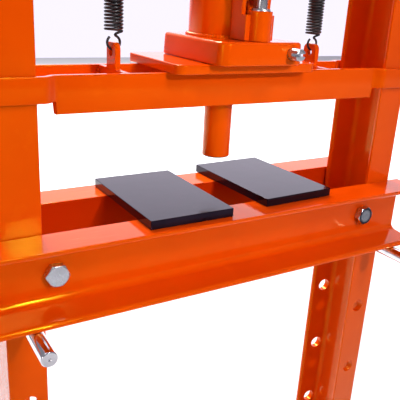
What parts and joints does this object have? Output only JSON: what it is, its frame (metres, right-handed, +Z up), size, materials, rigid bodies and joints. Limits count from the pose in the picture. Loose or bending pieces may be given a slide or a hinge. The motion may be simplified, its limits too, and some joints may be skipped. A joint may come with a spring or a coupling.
{
  "type": "hydraulic shop press",
  "caption": "H-frame hydraulic shop press: channel uprights and bed on pins, bottle jack on a sprung crosshead that drives a round ram down between two loose arbor plates.",
  "frame": {"origin": "on the floor, midway between the uprights and midway between the ends of the feet", "axes": "+Z up, -Y is the operator's side, +X to the operator's right"},
  "size_m": [0.6206, 0.5, 1.3572],
  "materials": {
    "orange_paint": "gloss enamel over hot-rolled steel",
    "plate_black": "gloss black enamel",
    "zinc": "bright zinc plate",
    "pin_chrome": "bright drawn bar",
    "machined_steel": "ground and oiled",
    "black_steel": "black oxide",
    "rubber": "satin moulded rubber"
  },
  "bodies": {
    "frame": {"upright_left": "orange_paint", "upright_right": "orange_paint", "foot_left": "orange_paint", "foot_right": "orange_paint", "tie_front": "orange_paint", "tie_rear": "orange_paint", "top_beam_front": "orange_paint", "top_beam_rear": "orange_paint", "top_bearing_plate": "orange_paint", "spring_hanger_left": "orange_paint", "spring_hanger_right": "orange_paint", "return_spring_left": "black_steel", "return_spring_right": "black_steel", "foot_bolt_left_front": "zinc", "foot_bolt_left_rear": "zinc", "foot_bolt_right_front": "zinc", "foot_bolt_right_rear": "zinc", "tie_bolt_front_left": "zinc", "tie_bolt_front_right": "zinc", "tie_bolt_rear_left": "zinc", "tie_bolt_rear_right": "zinc", "top_bolt_left_lower": "zinc", "top_bolt_left_upper": "zinc", "top_bolt_right_lower": "zinc", "top_bolt_right_upper": "zinc"},
    "bed": {"bed_channel_front": "orange_paint", "bed_channel_rear": "orange_paint", "bed_spacer_left": "orange_paint", "bed_spacer_right": "orange_paint", "bed_bolt_left": "zinc", "bed_bolt_right": "zinc", "bed_nut_left": "zinc", "bed_nut_right": "zinc"},
    "pin_left": {"bed_pin_left": "pin_chrome"},
    "pin_right": {"bed_pin_right": "pin_chrome"},
    "plate_left": {"arbor_plate_left": "plate_black"},
    "plate_right": {"arbor_plate_right": "plate_black"},
    "crosshead": {"crosshead_plate_front": "orange_paint", "crosshead_plate_rear": "orange_paint", "crosshead_web_left": "orange_paint", "crosshead_web_right": "orange_paint", "crosshead_seat_plate": "orange_paint", "ram": "orange_paint", "ram_holder": "orange_paint", "jack_base": "orange_paint", "jack_reservoir": "orange_paint", "jack_cap": "orange_paint", "filler_plug": "rubber", "pump_body": "orange_paint", "fulcrum_pin": "zinc"},
    "jack_piston": {"jack_piston": "machined_steel"},
    "jack_screw": {"jack_screw": "machined_steel", "jack_saddle": "black_steel"},
    "release_valve": {"release_valve": "zinc"},
    "plunger": {"pump_plunger": "machined_steel", "plunger_pin": "zinc"},
    "handle_socket": {"handle_socket": "orange_paint"},
    "handle_tube": {"handle_tube": "orange_paint", "handle_grip": "rubber"}
  },
  "joints": [
    {"name": "crosshead_slide", "type": "slide", "parent": "frame", "child": "crosshead", "axis": [0, 0, -1], "range_m": [0, 0.09], "stiffness_N_per_m": 3000, "springref_m": -0.1, "deforming": ["return_spring_left", "return_spring_right"]},
    {"name": "jack_piston_slide", "type": "slide", "parent": "crosshead", "child": "jack_piston", "axis": [0, 0, 1], "range_m": [0, 0.09]},
    {"name": "jack_screw_slide", "type": "slide", "parent": "jack_piston", "child": "jack_screw", "axis": [0, 0, -1], "range_m": [0, 0.016]},
    {"name": "bed_lift", "type": "slide", "parent": "frame", "child": "bed", "axis": [0, 0, 1], "range_m": [0, 0.008]},
    {"name": "pin_left_slide", "type": "slide", "parent": "frame", "child": "pin_left", "axis": [0, -1, 0], "range_m": [0, 0.12]},
    {"name": "pin_right_slide", "type": "slide", "parent": "frame", "child": "pin_right", "axis": [0, -1, 0], "range_m": [0, 0.12]},
    {"name": "plate_left_slide", "type": "slide", "parent": "bed", "child": "plate_left", "axis": [1, 0, 0], "range_m": [-0.09, 0.002]},
    {"name": "plate_right_slide", "type": "slide", "parent": "bed", "child": "plate_right", "axis": [1, 0, 0], "range_m": [-0.01, 0.08]},
    {"name": "pump_handle", "type": "hinge", "parent": "crosshead", "child": "handle_socket", "pos_m": [0, -0.05, 1.022], "axis": [1, 0, 0], "range_deg": [0, 40]},
    {"name": "plunger_slide", "type": "slide", "parent": "crosshead", "child": "plunger", "axis": [0, 0, -1], "range_m": [0, 0.0112]},
    {"name": "handle_slide", "type": "slide", "parent": "handle_socket", "child": "handle_tube", "axis": [0, -0.4695, 0.8829], "range_m": [0, 0.06]},
    {"name": "release_valve_turn", "type": "hinge", "parent": "crosshead", "child": "release_valve", "pos_m": [0.034, -0.08, 0.9635], "axis": [0, -1, 0], "range_deg": [0, 270]}
  ],
  "couplings": [
    {"joint": "jack_piston_slide", "follows": "crosshead_slide", "ratio": 1},
    {"joint": "plunger_slide", "follows": "pump_handle", "m_per_rad": 0.01568}
  ]
}
